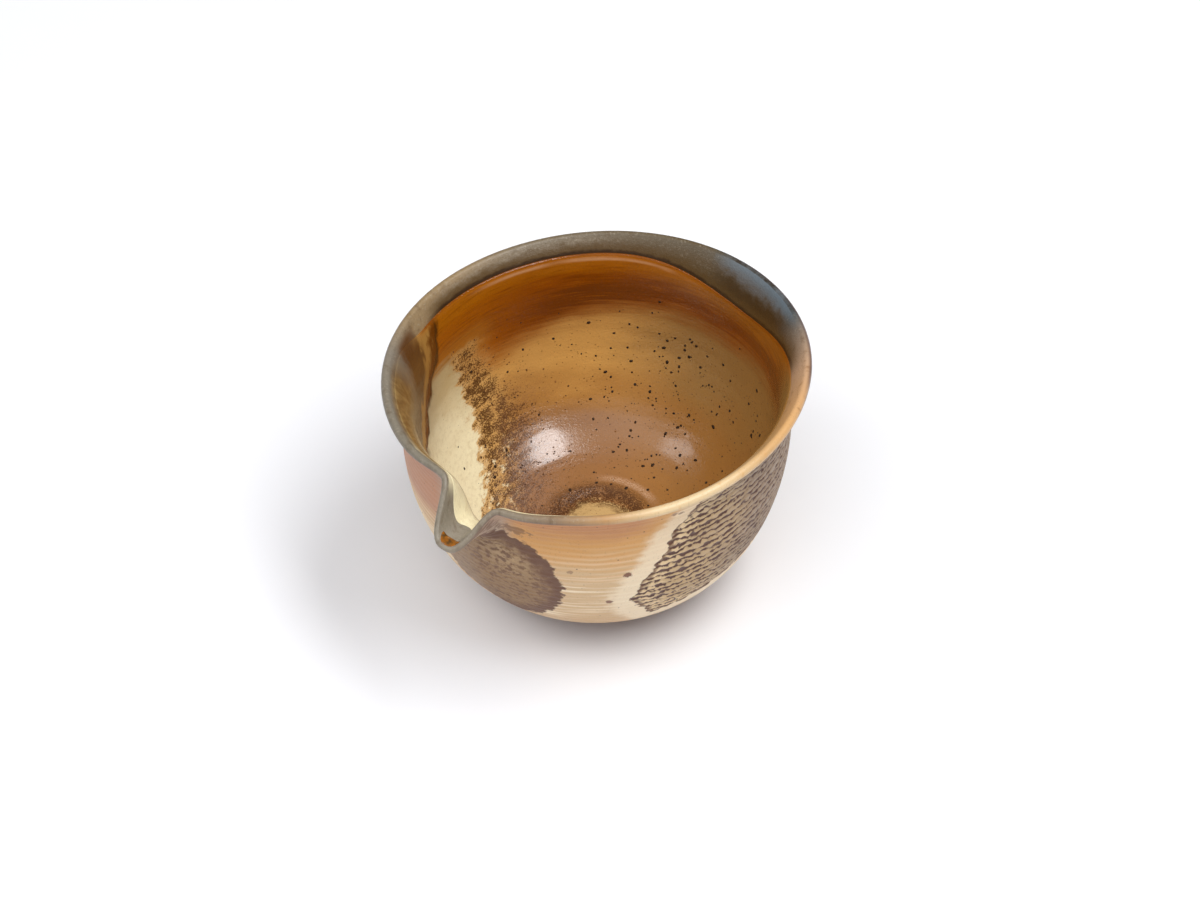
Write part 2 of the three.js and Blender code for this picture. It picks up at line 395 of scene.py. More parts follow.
def added(tree, kind, inputs=(), **settings):
    """A new node. Its inputs are given in their order, or each by its name or number."""
    node = tree.nodes.new(kind)
    for name, value in settings.items():
        setattr(node, name, value)
    for name, value in inputs.items() if isinstance(inputs, dict) else enumerate(inputs):
        feed(tree, value, node.inputs[name])
    return node


class Sum:
    """A number or a colour that nodes work out, written as arithmetic."""

    def __init__(self, tree, socket):
        self.tree = tree
        self.socket = socket

    def op(self, operation, *values):
        node = added(self.tree, "ShaderNodeMath", values, operation=operation)
        return Sum(self.tree, node.outputs[0])

    def __add__(self, other):
        return self.op("ADD", self, other)

    __radd__ = __add__

    def __sub__(self, other):
        return self.op("SUBTRACT", self, other)

    def __rsub__(self, other):
        return self.op("SUBTRACT", other, self)

    def __mul__(self, other):
        return self.op("MULTIPLY", self, other)

    __rmul__ = __mul__

    def __truediv__(self, other):
        return self.op("DIVIDE", self, other)

    def __neg__(self):
        return self.op("MULTIPLY", self, -1.0)

    def __pow__(self, other):
        return self.op("POWER", self, other)


def ramp(value, low, high):
    """0 below low and 1 above high, with soft ends. High may be less than low."""
    flipped = not isinstance(low, Sum) and not isinstance(high, Sum) and high < low
    ends = (high, low, 1.0, 0.0) if flipped else (low, high, 0.0, 1.0)
    inputs = dict(zip(("From Min", "From Max", "To Min", "To Max"), ends), Value=value)
    node = added(value.tree, "ShaderNodeMapRange", inputs, interpolation_type="SMOOTHSTEP")
    return Sum(value.tree, node.outputs[0])


def window(value, start, end, fade):
    """1 between start and end, which fade out over a width on both sides."""
    return ramp(value, start - fade, start + fade) * ramp(value, end + fade, end - fade)


def bell(value, middle, width):
    return value.op("POWER", math.e, -(((value - middle) / width) ** 2.0))


def absolute(value):
    return value.op("ABSOLUTE", value)


def larger(value, other):
    return value.op("MAXIMUM", value, other)


def wrapped(angle):
    """An angle in degrees, from 0 to 360."""
    return angle.op("FLOORED_MODULO", angle, 360.0)


def split(tree, vector):
    """The three parts of a vector."""
    return [Sum(tree, part) for part in added(tree, "ShaderNodeSeparateXYZ", (vector,)).outputs]


def smallest(distance, first, *others):
    """The least of some numbers, rounded where two meet."""
    least = first
    for other in others:
        least = least.op("SMOOTH_MIN", least, other, distance)
    return least


def blend(under, over, share):
    """One colour over another."""
    node = added(share.tree, "ShaderNodeMix", {0: share, 6: under, 7: over}, data_type="RGBA")
    return Sum(share.tree, node.outputs[2])


def painted(under, *coats):
    """A colour with coats of other colours over it, each with its share."""
    for colour, share in coats:
        under = blend(under, colour, share)
    return under


def tone(red, green, blue):
    """A colour as a screen shows it, turned to the light it stands for."""
    parts = np.array([red, green, blue]) / 255
    linear = np.where(parts <= 0.04045, parts / 12.92, ((parts + 0.055) / 1.055) ** 2.4)
    return (*(float(v) for v in linear), 1.0)


# The direction across the bowl from the crumbs towards the specks
RIGHT_X, RIGHT_Y = -0.576, 0.817
# How far apart two seeds of noise lie
SEED_STEP = 17.3


class Place:
    """Where a point of the bowl is, in millimetres and in degrees from the spout."""

    def __init__(self, tree):
        self.tree = tree
        if tree.bl_idname == "GeometryNodeTree":
            position = added(tree, "GeometryNodeInputPosition").outputs[0]
        else:
            position = added(tree, "ShaderNodeTexCoord").outputs["Object"]
        x, self.y, self.z = (part * (1 / MM) for part in split(tree, position))
        self.x = x - AXIS_X
        self.radius = (self.x * self.x + self.y * self.y) ** 0.5
        self.angle = self.x.op("ARCTAN2", self.y, self.x) * math.degrees(1)
        self.turn = -wrapped(-self.angle)
        self.right = self.x * RIGHT_X + self.y * RIGHT_Y
        self.up = self.mark("up_wall")
        self.from_lip = self.mark("from_lip")
        self.over = self.mark("above_line")

    def mark(self, name):
        if self.tree.bl_idname == "GeometryNodeTree":
            node = added(self.tree, "GeometryNodeInputNamedAttribute", {"Name": name}, data_type="FLOAT")
            return Sum(self.tree, node.outputs["Attribute"])
        node = added(self.tree, "ShaderNodeAttribute", attribute_name=name)
        return Sum(self.tree, node.outputs["Fac"])

    def vector(self, x, y, z):
        return added(self.tree, "ShaderNodeCombineXYZ", (x, y, z)).outputs[0]

    def streaks(self, across, up, seed):
        """Coordinates for a pattern that is drawn out along the throwing lines."""
        x = self.x * (1 / across) + SEED_STEP * seed
        return self.vector(x, self.y * (1 / across), self.up * (1 / up))

    def noise(self, across, up, seed, detail=2.0, roughness=0.5):
        """Cloudy noise about 0, from -1 to 1, with cells of a size across and up the wall."""
        spot = self.streaks(across, up, seed)
        inputs = {"Vector": spot, "Scale": 1.0, "Detail": detail, "Roughness": roughness}
        return Sum(self.tree, added(self.tree, "ShaderNodeTexNoise", inputs).outputs[0]) * 4.0 - 2.0

    def grains(self, across, up, seed):
        """Distance to the nearest of some scattered points, and that point's chance from 0 to 1."""
        inputs = {"Vector": self.streaks(across, up, seed), "Scale": 1.0}
        node = added(self.tree, "ShaderNodeTexVoronoi", inputs)
        chance = added(self.tree, "ShaderNodeSeparateColor", (node.outputs["Color"],)).outputs[0]
        return Sum(self.tree, node.outputs["Distance"]), Sum(self.tree, chance)


# Patterns that both the relief and the colour follow. Angles are degrees from the spout.
LINE_SPACING = 2.05

SCALE_ROW = 2.1
SCALE_LENGTH = 3.6
SCALE_LEFT = 45.0
SCALE_LEFT_LEAN = 14.0
SCALE_LEFT_TOP = 6.0
SCALE_BACK = 162.0
SCALE_BACK_LEAN = 34.0
SCALE_BOTTOM = 21.0
SCALE_BOTTOM_START = 53.0
SCALE_BOTTOM_RISE = 0.2
SCALE_CORNER_OUT = 39.8
SCALE_CORNER_HEIGHT = 33.6
SCALE_CORNER_TURN = (0.877, 0.481)
MM_PER_DEGREE = 0.93
MM_PER_DEGREE_LOW = 0.87

OVAL_ANGLE = 4.0
OVAL_HALF_ANGLE = 21.0
OVAL_HEIGHT = 39.0
OVAL_HALF_HEIGHT = 21.5
OVAL_RADIUS = 18.0

CREAM_EDGE = -29.0
CREAM_EDGE_LEAN = -0.27
CRUMB_WIDTH = 6.5
CRUMB_WIDTH_LOW = 12.0


def throwing_lines(place, spacing):
    """Ridges that the potter's fingers left, one above the other."""
    wander = place.noise(26, 9, 1)
    wave = (place.up / spacing + wander * 0.35) * (2 * math.pi)
    return wave.op("SINE", wave)


def scale_reach(place):
    """How far inside the edge of the scale patch a point is, in millimetres."""
    edge = ramp(place.z, 30, 66) * SCALE_LEFT_LEAN + ramp(place.z, 58, 70) * SCALE_LEFT_TOP + SCALE_LEFT
    left = (place.angle - edge) * MM_PER_DEGREE
    back = (SCALE_BACK - place.angle - ramp(place.z, 66, 30) * SCALE_BACK_LEAN) * MM_PER_DEGREE
    rise = (place.angle - SCALE_BOTTOM_START) * SCALE_BOTTOM_RISE
    bottom = (place.z - SCALE_BOTTOM - rise) * 1.2
    across, up = SCALE_CORNER_TURN
    corner = (place.angle * MM_PER_DEGREE_LOW - SCALE_CORNER_OUT) * across
    corner = corner + (place.z - SCALE_CORNER_HEIGHT) * up
    ragged = place.noise(3.6, 2.3, 3, detail=2) * 1.3 + place.noise(10, 6, 4) * 0.8
    return smallest(2.0, left, back, bottom, corner) + ragged


def scale_islands(place):
    """1 on the tan islands of the scale patch and 0 in the dark lines between them."""
    sway = place.noise(12, 7, 5) * 0.22 + place.noise(2.6, 2.2, 6, detail=1) * 0.3
    phase = place.up * (1 / SCALE_ROW) + sway
    rows = phase.op("SINE", phase * (2 * math.pi))
    half_brick = phase.op("FLOOR", phase + 0.25) * 0.5
    along = place.angle * (math.radians(BELLY_RADIUS) / SCALE_LENGTH) + half_brick
    along = along + place.noise(4, 1.6, 10) * 0.5
    ends = along.op("SINE", along * (2 * math.pi))
    breaks = place.noise(1.9, 1.2, 7, detail=2, roughness=0.45)
    lift = ramp(place.angle, 60, 84) * 0.16 + 0.06
    return ramp(rows * 0.66 + ends * 0.3 + breaks * 0.72 + lift, -0.3, 0.34)


def oval_reach(place):
    """How far inside the oval patch under the spout a point is, in millimetres."""
    wide = absolute((place.angle - OVAL_ANGLE) * (1 / OVAL_HALF_ANGLE))
    high = absolute((place.z - OVAL_HEIGHT) * (1 / OVAL_HALF_HEIGHT))
    size = (wide ** 2.0 + high ** 2.0) ** 0.5
    return (1.0 - size) * OVAL_RADIUS + place.noise(2.4, 1.6, 8, detail=3) * 1.2 + place.noise(8, 5, 9)


def crumb_zone(place):
    """How far past the cream's edge a point is, in millimetres, and how thick the crumbs lie there."""
    cream_edge = place.z * CREAM_EDGE_LEAN + CREAM_EDGE
    past = place.right - cream_edge + place.noise(5, 2.6, 11, detail=3, roughness=0.6) * 2.2
    share = past / (ramp(place.z, 42, 14) * CRUMB_WIDTH_LOW + CRUMB_WIDTH)
    dense = ramp(past, -0.8, 1.2) * (ramp(share, 1.4, 0.45) * 0.64 + ramp(share, 2.8, 0.8) * 0.36)
    left_side = ramp(place.angle, -20, -48) * ramp(place.z + place.noise(4, 3, 12) * 1.5, 55, 49)
    return past, dense * left_side


def spout_side(place):
    """1 inside the wall by the spout, where the glaze stayed cream."""
    return window(place.angle, -60, 30, 12.0) * ramp(place.z, 13, 20)


# A bead of ash glass that stands in the spout's lip
POOL_HALF_WIDTH = math.radians(3.1)
POOL_HALF_LENGTH = 1.25
POOL_HEIGHT = 0.55
POOL_BACK_TUCK = 0.3
POOL_EDGE_TUCK = 0.04


def ash_pool():
    turns = np.linspace(0, 2 * math.pi, 48, endpoint=False)
    shares = np.linspace(0, 1, 13)[1:]
    share, turn = np.meshgrid(shares, turns, indexing="ij")
    angle = POOL_HALF_WIDTH * share * np.cos(turn)
    up = WALL_LENGTH - POOL_HALF_LENGTH + POOL_HALF_LENGTH * share * np.sin(turn) * 0.98
    station = station_up(up)
    out, _ = wall_directions(angle, station)
    middle = wall_middle(angle, station)
    half = thinned(angle, station, LIP_THICKNESS) / 2
    lens = POOL_HEIGHT * (1 - share**2) ** 0.7
    face = middle - out * (half - SKIN + lens - POOL_EDGE_TUCK)[..., None]
    back = middle - out * (half - SKIN - POOL_BACK_TUCK)[..., None]
    rows = np.concatenate([back, face[::-1]])
    piece = closed_shell("ash_pool", back[0].mean(axis=0), rows, face[0].mean(axis=0), {})
    return face_outwards(piece)


def face_outwards(piece):
    shape = bmesh.new()
    shape.from_mesh(piece.data)
    bmesh.ops.recalc_face_normals(shape, faces=shape.faces)
    shape.to_mesh(piece.data)
    shape.free()
    return piece


# Relief by Geometry Nodes
def new_tree(name, sizes):
    """A geometry tree with a named input for each size, and those inputs as sums."""
    tree = bpy.data.node_groups.new(name, "GeometryNodeTree")
    tree.interface.new_socket("Geometry", in_out="INPUT", socket_type="NodeSocketGeometry")
    tree.interface.new_socket("Geometry", in_out="OUTPUT", socket_type="NodeSocketGeometry")
    for size in sizes:
        tree.interface.new_socket(size, in_out="INPUT", socket_type="NodeSocketFloat")
    source = tree.nodes.new("NodeGroupInput")
    inputs = {size: Sum(tree, source.outputs[size]) for size in sizes}
    return tree, source.outputs["Geometry"], inputs


def close_tree(tree, geometry, material):
    """Realized instances in one material, as the tree's result."""
    real = added(tree, "GeometryNodeRealizeInstances", (geometry,)).outputs[0]
    painting = added(tree, "GeometryNodeSetMaterial", {"Geometry": real, "Material": material})
    added(tree, "NodeGroupOutput", (painting.outputs[0],))


def grown(piece, tree, sizes):
    """The piece with a geometry tree's result as its plain mesh."""
    modifier = piece.modifiers.new(tree.name, "NODES")
    modifier.node_group = tree
    for item in tree.interface.items_tree:
        if item.item_type == "SOCKET" and item.in_out == "INPUT" and item.name in sizes:
            modifier[item.identifier] = float(sizes[item.name])
    bpy.context.view_layer.update()
    seen = piece.evaluated_get(bpy.context.evaluated_depsgraph_get())
    mesh = bpy.data.meshes.new_from_object(seen)
    mesh.name = piece.name
    piece.modifiers.clear()
    piece.data = mesh
    return piece


def push_out(tree, geometry, height):
    """Moves the surface along its normal by a height in millimetres."""
    normal = added(tree, "GeometryNodeInputNormal").outputs[0]
    inputs = {0: normal, "Scale": height * MM}
    offset = added(tree, "ShaderNodeVectorMath", inputs, operation="SCALE").outputs[0]
    return added(tree, "GeometryNodeSetPosition", {"Geometry": geometry, "Offset": offset}).outputs[0]


def wall_relief(piece, material):
    sizes = {"Line spacing": LINE_SPACING, "Line depth": 0.07, "Scale depth": 0.42, "Ash depth": 0.2}
    tree, geometry, size = new_tree("thrown_and_ashed", sizes)
    place = Place(tree)
    outside = ramp(place.from_lip, 1.2, 5.0)
    patch = ramp(scale_reach(place), -0.2, 0.8)
    oval = ramp(oval_reach(place), -0.2, 1.0)
    lines = throwing_lines(place, size["Line spacing"]) * (place.noise(30, 12, 2) * 0.35 + 0.65)
    height = (lines - 1.0) * size["Line depth"] * (1.0 - patch * 0.6)
    height = height + (scale_islands(place) - 1.0) * size["Scale depth"] * patch
    height = height + (place.noise(1.6, 0.8, 13, detail=3) - 1.0) * size["Ash depth"] * 0.5 * oval
    close_tree(tree, push_out(tree, geometry, height * outside), material)
    return grown(piece, tree, sizes)


def glaze_relief(piece, material):
    sizes = {"Ring spacing": 5.2, "Ring depth": 0.025, "Ripple depth": 0.03}
    tree, geometry, size = new_tree("glaze_ripples", sizes)
    place = Place(tree)
    inner = ramp(place.over, -0.8, -4.0) * place.mark("on_face")
    height = throwing_lines(place, size["Ring spacing"]) * size["Ring depth"]
    height = height + place.noise(7, 3, 14) * size["Ripple depth"]
    close_tree(tree, push_out(tree, geometry, height * inner), material)
    return grown(piece, tree, sizes)


# Materials
def new_material(name, roughness, gloss=0.5):
    material = bpy.data.materials.new(name)
    material.use_nodes = True
    shader = material.node_tree.nodes["Principled BSDF"]
    shader.inputs["Roughness"].default_value = roughness
    shader.inputs["Specular IOR Level"].default_value = gloss
    return material, material.node_tree, shader


def raise_bumps(tree, shader, height, distance):
    bump = added(tree, "ShaderNodeBump", {"Distance": distance * MM, "Height": height})
    feed(tree, bump.outputs[0], shader.inputs["Normal"])


def colour_wheel(place, stops):
    """Colours round the bowl, each at its angle from the spout in degrees, from 0 to 360."""
    node = added(place.tree, "ShaderNodeValToRGB", (wrapped(place.angle) * (1 / 360),))
    points = node.color_ramp.elements
    for index, (angle, colour) in enumerate(stops):
        point = points[index] if index < 2 else points.new(angle / 360)
        point.position = angle / 360
        point.color = colour
    return Sum(place.tree, node.outputs[0])


# Clay, and the ash on it
CREAM_CLAY = tone(212, 178, 134)
BONE_CLAY = tone(244, 224, 192)
FOOT_TAN = tone(192, 146, 100)
# A dark brown for painted shade on the underside
UNDERSIDE_SHADE_BROWN = tone(132, 92, 64)
GRIT_BROWN = tone(70, 50, 36)
FLASHED_ORANGE = tone(212, 152, 78)
FLASHED_RED = tone(188, 124, 80)
SALMON = tone(182, 130, 104)
LAVENDER_GREY = tone(176, 156, 138)
PALE_SCALE = tone(226, 196, 152)
TAN_SCALE = tone(198, 166, 122)
GREY_SCALE = tone(152, 128, 104)
DARK_SCALE = tone(94, 64, 54)
PURPLE_BROWN = tone(104, 66, 44)
OLIVE_ASH = tone(146, 112, 74)
SPECK_BROWN = tone(112, 62, 40)

# The lip and the brown run inside it
DARK_LINE = tone(52, 30, 8)
OLIVE_RIM = tone(88, 64, 30)
DARK_OLIVE = tone(36, 20, 2)
BLUE_ASH = tone(94, 106, 115)
# A pale grey for the painted sheen inside the back-left rim
SHEEN_STRIP = tone(156, 142, 122)
PALE_DUST = tone(174, 162, 142)
# A dark brown for the painted shade where the back rim's outside turns away
CREST_SHADE = tone(84, 66, 48)
WET_BROWN = tone(104, 54, 6)
GOLD_STREAK = tone(166, 122, 60)
RUN_BROWN = tone(96, 62, 30)
# The run's grey, also the grey of the painted shade on the cream glaze
RUN_AND_SHADE_GREY = tone(134, 126, 110)
RUN_TAN = tone(158, 128, 78)

# Glass
CREAM_GLAZE = tone(243, 230, 190)
# A darker cream, for mottling and for painted shade on the cream glaze
CREAM_MOTTLE_AND_SHADE = tone(196, 172, 122)
TAN_GLAZE = tone(202, 150, 80)
OLIVE_GLAZE = tone(148, 108, 56)
AMBER_GLAZE = tone(142, 70, 0)
AMBER_DARK = tone(112, 52, 0)
AMBER_LEFT = tone(172, 94, 0)
AMBER_EDGE = tone(160, 96, 14)
AMBER_LINE = tone(110, 54, 10)
# A pale pink for the painted highlight just under the glaze's edge at the back
GLAZE_EDGE_HIGHLIGHT = tone(206, 158, 118)
ROSE_GLAZE = tone(138, 96, 62)
BROWN_GLAZE = tone(148, 98, 44)
GOLD_GLAZE = tone(204, 148, 58)
WELL_CREAM = tone(200, 166, 110)
# A pale pink for the painted highlight on the well's far edge
WELL_EDGE_HIGHLIGHT = tone(226, 190, 160)
CHANNEL_GREY = tone(134, 126, 108)
CRUMB_BROWN = tone(72, 40, 14)
CRUMB_GOLD = tone(214, 166, 98)
HAZE_BROWN = tone(132, 92, 66)
DUST_BROWN = tone(84, 50, 20)
CLOUD_BROWN = tone(90, 56, 26)
IRON = tone(44, 28, 14)
CRUMB_TAN = tone(142, 92, 44)
ORANGE_GLASS = tone(150, 90, 24)
BROWN_GLASS = tone(84, 60, 30)
FOOT_CREAM = tone(196, 160, 124)
FOOT_RED = tone(170, 112, 70)
FOOT_SAND = tone(96, 62, 40)

LIP_WHEEL = (
    (0, tone(142, 132, 116)),
    (360, tone(142, 132, 116)),
    (14, tone(136, 122, 102)),
    (24, tone(142, 118, 92)),
    (38, tone(188, 146, 98)),
    (52, tone(222, 194, 150)),
    (70, tone(222, 194, 150)),
    (88, tone(208, 166, 114)),
    (101, tone(212, 164, 108)),
    (112, tone(206, 160, 112)),
    (126, tone(188, 152, 120)),
    (136, tone(150, 128, 108)),
    (146, tone(88, 92, 92)),
    (174, tone(86, 78, 64)),
    (186, tone(92, 78, 56)),
    (240, tone(122, 107, 84)),
    (262, tone(150, 126, 92)),
    (284, tone(150, 126, 92)),
    (300, tone(132, 122, 108)),
    (345, tone(126, 118, 102)),
)

# Where marks start and end, in degrees from the spout
SALMON_SIDE = (-150, -5)
SPOUT_SHOULDER = (-14, 10)
WARM_LIP = (34, 130)
MOTTLED_LIP = (106, 142)
SHEEN_STRIP_SIDE = (-150, -88)
BLUE_SIDE = (146, 177)
PURPLE_EDGE = (118, 172)
CREST_SHADE_SIDE = (-250, -60)
SPOUT_LIP = (-24, 22)
RUN_SIDE = (-90, -12)
EDGE_HIGHLIGHT_SIDE = (-172, -106)
GOLD_SIDE = (-104, -74)
WELL_HIGHLIGHT_SIDE = (-206, -150)

OUTSIDE_SPECKS = (  # angle from the spout, height, radius and strength
    (44.0, 46.4, 0.95, 0.9),
    (38.7, 34.0, 0.8, 0.85),
    (27.5, 48.5, 0.7, 0.5),
    (57.2, 67.4, 0.8, 0.6),
    (59.4, 66.6, 0.6, 0.6),
)


def left_run(place):
    """Degrees inside the edge of the brown run beside the spout, and how far down it comes."""
    fall = larger(place.z - 38.0, 0.0) * (1 / 30)
    edge = -59.0 - (fall ** 0.5) * 24.0
    end = ramp(place.angle, -52, -14) * 30.0 + 36.0
    inside = place.angle - edge + place.noise(5, 9, 21, detail=2) * 1.6
    reach = window(place.angle, *RUN_SIDE, 4.0) * ramp(place.z - end, -2.0, 3.0)
    return inside, reach


def paint_run(place, colour):
    """The run's bands: a wet dark edge, gold streaks, purple-brown, and the rim's grey."""
    inside, reach = left_run(place)
    streak = place.noise(1.6, 16, 22, detail=3)
    greyed = ramp(inside + streak * 2.0, 19, 26) * ramp(place.angle, -50, -58)
    band = painted(
        WET_BROWN,
        (GOLD_STREAK, ramp(inside + streak * 1.8, 3.6, 6.4)),
        (RUN_BROWN, ramp(inside + streak * 2.2, 8.5, 12)),
        (RUN_AND_SHADE_GREY, greyed * 0.55),
        (RUN_TAN, ramp(place.angle, -62, -46) * (ramp(streak, -0.6, 0.6) * 0.5 + 0.35)),
        (DARK_LINE, ramp(inside + streak * 0.7, 2.4, 0.6) * 0.7),
    )
    below_rim = 1.0 - ramp(place.z, 67.6, 70.6) * ramp(inside, 16, 9)
    share = reach * below_rim * ramp(inside + streak * 0.8, -1.6, 0.9)
    return blend(colour, band, share * ramp(place.from_lip, -2.0, -4.5))


def spot(place, angle, height, size):
    """A small ragged mark on the outside of the bowl."""
    across = (place.angle - angle) * math.radians(BELLY_RADIUS)
    up = place.z - height
    distance = (across * across * 0.6 + up * up) ** 0.5 + place.noise(0.9, 0.8, 39) * 0.35
    return ramp(distance, size * 1.25, size * 0.75)


def clay_grain(place):
    """The noises and patterns that the clay's coats of colour share."""
    return SimpleNamespace(
        lines=throwing_lines(place, LINE_SPACING),
        streak=place.noise(24, 1.1, 31, detail=3),
        cloud=place.noise(22, 12, 32),
        fine=place.noise(0.5, 0.45, 33, detail=2),
        mottle=place.noise(1.7, 1.3, 34, detail=3, roughness=0.55),
        patchy=place.noise(5, 4, 37, detail=3),
        blotch=place.noise(3.2, 2.0, 36, detail=4, roughness=0.62),
        reach=scale_reach(place),
    )


def fired_clay(place, grain):
    """Cream clay low down, orange and red flashes above it, and salmon left of the spout."""
    bone = ramp(grain.streak + grain.cloud * 0.6 + grain.lines * 0.35, -0.5, 1.0)
    band = window(grain.reach, -6.5, 3.0, 2.5)
    flash = ramp(place.z + grain.streak * 4.5 + grain.cloud * 5.0 - grain.lines * 1.4, 40, 60)
    red = ramp(place.z + grain.cloud * 4.0 + grain.lines, 58, 69) * (1.0 - band)
    salmon = window(place.angle, *SALMON_SIDE, 6.0) * window(place.z + grain.cloud * 4.0, 46, 90, 5.0)
    shoulder = window(place.angle, *SPOUT_SHOULDER, 4.0) * ramp(place.z, 50, 60)
    return painted(
        CREAM_CLAY,
        (BONE_CLAY, bone),
        (FOOT_TAN, ramp(place.z + grain.streak * 2.0, 28, 12) * 0.5),
        (BONE_CLAY, band * ramp(place.z, 74, 60) * 0.8),
        (FLASHED_ORANGE, flash * (1.0 - band * 0.85) * 0.9),
        (FLASHED_RED, red * ramp(place.angle, 56, 44) * 0.8),
        (SALMON, salmon * 0.85),
        (LAVENDER_GREY, shoulder * 0.9),
    )


def paint_oval(place, outside, grain):
    """The oval of ash under the spout, brown round its edge, and the loop of brown above it."""
    oval = oval_reach(place)
    pale_spot = bell(place.angle, 10.0, 9.0) * bell(place.z, 50.0, 8.0)
    edge = ramp(oval + grain.mottle * 1.5 + grain.patchy * 1.8, 6.0, 2.0) * ramp(place.angle, -12, 6)
    ash = painted(
        OLIVE_ASH,
        (PURPLE_BROWN, ramp(grain.mottle * 1.2 + grain.patchy * 0.5, -0.3, 0.8) * 0.75),
        (TAN_SCALE, pale_spot * ramp(grain.mottle, 0.5, -0.5) * 0.6),
        (PURPLE_BROWN, edge * 0.95),
        (LAVENDER_GREY, ramp(place.angle, 2, -10) * 0.35),
    )
    loop = bell(place.angle, 5.0, 3.5) * bell(place.z, 66.0, 3.5)
    loop = loop + bell(place.angle, 12.0, 6.0) * bell(place.z, 61.5, 2.2)
    halo = ramp(loop + grain.mottle * 0.5 + grain.patchy * 0.2, 0.5, 0.85)
    return painted(outside, (ash, ramp(oval, -0.3, 0.5)), (PURPLE_BROWN, halo * 0.6))


def paint_scales(place, outside, grain):
    """The patch of tan scales between dark lines, greyer towards the back."""
    tan = painted(
        PALE_SCALE,
        (TAN_SCALE, ramp(grain.reach, 3, 9)),
        (GREY_SCALE, ramp(place.angle + grain.cloud * 8.0, 58, 92)),
    )
    scale = painted(
        DARK_SCALE,
        (tan, scale_islands(place)),
        (PURPLE_BROWN, ramp(grain.reach + grain.patchy * 1.4, 2.2, 0.8) * 0.8),
    )
    return blend(outside, scale, ramp(grain.reach, -0.2, 0.3))


def paint_specks(place, outside):
    """The brown spots that the photo shows, and freckles all over."""
    for angle, height, size, strength in OUTSIDE_SPECKS:
        outside = blend(outside, SPECK_BROWN, spot(place, angle, height, size) * strength)
    grit, chance = place.grains(1.7, 1.5, 35)
    return blend(outside, PURPLE_BROWN, ramp(grit, 0.2, 0.08) * ramp(chance, 0.86, 0.9) * 0.8)


def ashed_lip(place, grain):
    """The ash on the lip and the bare band inside it down to the glaze line, with painted shade and sheen.
    """
    blotch = grain.blotch
    dust = place.noise(0.8, 0.7, 38, detail=4, roughness=0.7)
    warm = window(place.angle, *WARM_LIP, 8.0)
    cool = 1.0 - warm
    # Painted sheen: a pale speckled strip inside the back-left rim, standing in for the highlight on the
    # concave neck
    sheen_strip = window(place.turn, *SHEEN_STRIP_SIDE, 8.0) * window(place.from_lip, -6.5, -3.0, 1.0)
    blue = window(place.angle, *BLUE_SIDE, 6.0)
    purple = window(place.angle, *PURPLE_EDGE, 6.0) * window(place.from_lip, -0.4, 3.4, 0.8)
    # Painted shade: a thin dark line just outside the back rim's crest, where the wall turns away
    crest_shade = window(place.turn, *CREST_SHADE_SIDE, 8.0) * window(place.from_lip + blotch * 0.3, 0.6, 3.2, 0.5)
    cream = window(place.angle, *SPOUT_LIP, 6.0) * ramp(place.from_lip + blotch * 0.4, -2.0, -3.2)
    lip = painted(
        colour_wheel(place, LIP_WHEEL),
        (FLASHED_ORANGE, warm * ramp(blotch, 0.2, 1.2) * 0.6),
        (PURPLE_BROWN, window(place.angle, *MOTTLED_LIP, 4.0) * ramp(blotch, 0.2, 0.9) * 0.5),
        (OLIVE_RIM, cool * ramp(blotch, -0.1, 1.0) * 0.5),
        (PALE_DUST, cool * ramp(dust, 0.1, 1.0) * 0.55),
        (DARK_OLIVE, cool * ramp(dust, -0.3, -1.1) * 0.4),
        (SHEEN_STRIP, sheen_strip * (ramp(dust + blotch * 0.5, -0.5, 0.7) * 0.5 + 0.15)),
        (BLUE_ASH, blue * ramp(place.over + blotch * 1.2, 4.5, 8.0) * 0.85),
        (DARK_OLIVE, blue * ramp(place.over + blotch * 1.6, 8.0, 4.0) * 0.95),
        (DARK_SCALE, purple * 0.92),
        (CREST_SHADE, crest_shade * 0.75),
        # Painted shade: a purple-brown band just under the lip on the outside
        (PURPLE_BROWN, window(place.from_lip, 1.2, 4.0, 0.8) * cool * 0.55),
        (CREAM_GLAZE, cream * ramp(absolute(place.angle), 5.0, 8.0)),
    )
    lip = paint_run(place, lip)
    back = ramp(place.turn, -78, -90) * ramp(place.turn, -236, -222)
    return painted(
        lip,
        (OLIVE_RIM, back * ramp(place.from_lip + blotch * 0.6, -2.0, -5.5) * 0.5),
        (OLIVE_RIM, back * ramp(place.over + blotch, 4.4, 1.0) * 0.85),
        (DARK_LINE, back * ramp(place.over + blotch * 0.4, 1.3, 0.5) * 0.9),
    )


def flashed_clay():
    """Bare porcelain turned orange and salmon by the flame, with ash fused on it in patches."""
    material, tree, shader = new_material("flashed_clay", 0.5)
    place = Place(tree)
    grain = clay_grain(place)
    outside = fired_clay(place, grain)
    outside = paint_oval(place, outside, grain)
    outside = paint_scales(place, outside, grain)
    outside = paint_specks(place, outside)
    # Painted shade: the underside darker below 13 mm, so less light bounces under the bowl and the table's
    # shade there is deeper
    under = ramp(place.z, 13, 6) * ramp(place.from_lip, 20, 40)
    colour = painted(
        outside,
        (ashed_lip(place, grain), ramp(place.from_lip + grain.blotch * 0.5, 3.0, 2.0)),
        (UNDERSIDE_SHADE_BROWN, under * 0.9),
        (GRIT_BROWN, ramp(grain.fine, 0.3, 1.4) * 0.35),
    )
    feed(tree, colour, shader.inputs["Base Color"])
    roughness = 0.52 - ramp(place.from_lip, 4.0, 2.0) * 0.12 + grain.blotch * 0.05
    feed(tree, roughness - ramp(grain.reach, 0.0, 1.0) * 0.08, shader.inputs["Roughness"])
    raise_bumps(tree, shader, grain.fine * 0.5 + grain.blotch * 0.5, 0.05)
    return material


